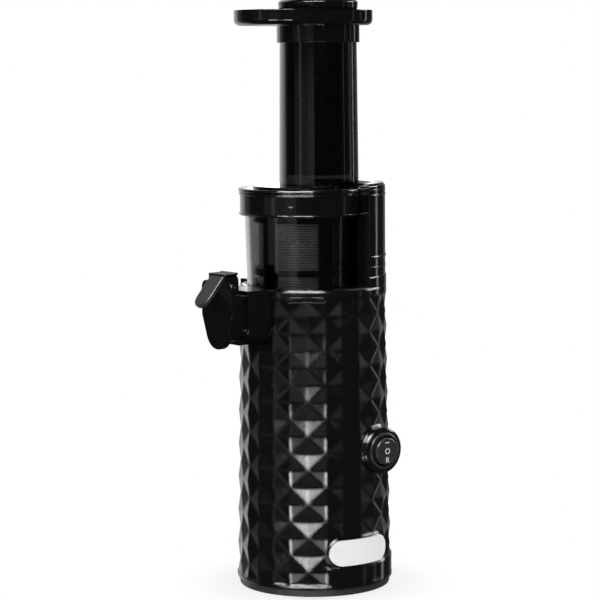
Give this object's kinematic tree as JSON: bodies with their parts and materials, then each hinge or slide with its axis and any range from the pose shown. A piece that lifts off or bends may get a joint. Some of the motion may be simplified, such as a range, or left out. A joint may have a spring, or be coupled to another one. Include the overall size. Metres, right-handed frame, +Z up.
{
  "type": "cold press juicer",
  "caption": "Slim upright cold press juicer: faceted motor base, smoky juice bowl with capped spout and strainer, tall feed tube with oval tray and pusher.",
  "frame": {"origin": "on the body axis, on the plane that the feet stand on; the underside of the bottom cover is 1.5 mm above it", "axes": "+Z up along the body, -Y the front with the switch and badge, -X the juice spout, +Y the pulp outlet"},
  "size_m": [0.1483, 0.1198, 0.399],
  "materials": {
    "black_gloss": "polished black ABS",
    "black_satin": "satin black nylon",
    "black_matte": "textured black plastic",
    "smoky": "smoky clear copolyester",
    "badge": "pale gloss plate, bare",
    "rubber": "soft black rubber",
    "silicone": "grey silicone",
    "steel": "drawn and turned steel",
    "brass": "sintered bronze",
    "nylon": "natural nylon",
    "magnet": "ferrite",
    "board": "coated circuit board",
    "board_parts": "sleeved and moulded parts",
    "auger": "hard dark plastic"
  },
  "bodies": {
    "base": {"body_shell": "black_gloss", "bottom_cover": "black_matte", "rubber_feet": "rubber", "bottom_screws": "steel", "name_badge": "badge", "lock_arm": "black_gloss", "lock_switch": "black_matte", "switch_bezel": "black_satin", "switch_housing": "black_matte", "power_board": "board", "board_parts": "board_parts", "cord_gland": "rubber", "motor_can": "steel", "motor_end_bell": "steel", "motor_magnets": "magnet", "idler_axle": "steel", "gearbox_housing": "black_matte", "gearbox_cover": "black_matte", "gearbox_screws": "steel", "output_bush": "brass", "bowl_deck": "black_matte", "deck_seal": "silicone"},
    "bowl": {"bowl_base": "black_gloss", "bowl_seal": "silicone", "bowl_wall": "smoky", "strainer_frame": "black_gloss", "strainer_mesh": "steel", "spout_hinge_pin": "steel"},
    "cap": {"spout_cap": "black_gloss", "cap_seal": "silicone", "cap_lever": "black_satin"},
    "lid_seal": {"lid_gasket": "silicone"},
    "lid": {"lid_ring": "black_gloss", "feed_tube": "smoky"},
    "tray": {"feed_tray": "black_gloss"},
    "food_pusher": {"pusher": "black_matte", "pusher_cap": "black_gloss"},
    "screw": {"auger": "auger", "auger_core": "steel"},
    "drive": {"drive_shaft": "steel", "output_gear": "nylon"},
    "idler": {"idler_gear": "steel"},
    "rotor": {"motor_rotor": "steel", "motor_pinion": "steel"},
    "rocker": {"switch_rocker": "black_satin"},
    "plunger": {"lock_plunger": "black_matte"}
  },
  "joints": [
    {"name": "bowl_lift", "type": "slide", "parent": "base", "child": "bowl", "axis": [0, 0, 1], "range_m": [0, 0.12]},
    {"name": "lid_lift", "type": "slide", "parent": "bowl", "child": "lid_seal", "axis": [0, 0, 1], "range_m": [0, 0.03]},
    {"name": "lid_twist", "type": "hinge", "parent": "lid_seal", "child": "lid", "pos_m": [-0.0075, 0, 0.2553], "axis": [0, 0, 1], "range_deg": [0, 30]},
    {"name": "tray_lift", "type": "slide", "parent": "lid", "child": "tray", "axis": [0, 0, 1], "range_m": [0, 0.025]},
    {"name": "pusher_pull", "type": "slide", "parent": "tray", "child": "food_pusher", "axis": [0, 0, 1], "range_m": [0, 0.12]},
    {"name": "cap_hinge", "type": "hinge", "parent": "bowl", "child": "cap", "pos_m": [-0.071, 0, 0.2125], "axis": [0, 1, 0], "range_deg": [0, 95]},
    {"name": "rocker_tilt", "type": "hinge", "parent": "base", "child": "rocker", "pos_m": [0.0185, -0.0509, 0.097], "axis": [1, 0, 0], "range_deg": [-8, 8]},
    {"name": "plunger_slide", "type": "slide", "parent": "base", "child": "plunger", "axis": [-1, 0, 0], "range_m": [0, 0.00101]},
    {"name": "motor_spin", "type": "hinge", "parent": "base", "child": "rotor", "pos_m": [-0.0075, 0, 0.118], "axis": [0, 0, 1], "continuous": true},
    {"name": "idler_spin", "type": "hinge", "parent": "base", "child": "idler", "pos_m": [0.0205, 0, 0.118], "axis": [0, 0, 1], "continuous": true},
    {"name": "drive_spin", "type": "hinge", "parent": "base", "child": "drive", "pos_m": [-0.0075, 0, 0.131], "axis": [0, 0, 1], "continuous": true},
    {"name": "auger_spin", "type": "hinge", "parent": "bowl", "child": "screw", "pos_m": [-0.0075, 0, 0.169], "axis": [0, 0, 1], "continuous": true}
  ],
  "couplings": [
    {"joint": "plunger_slide", "follows": "lid_lift", "ratio": 0.033333},
    {"joint": "idler_spin", "follows": "motor_spin", "ratio": -0.33333},
    {"joint": "drive_spin", "follows": "motor_spin", "ratio": 0.11111},
    {"joint": "auger_spin", "follows": "motor_spin", "ratio": 0.11111}
  ]
}
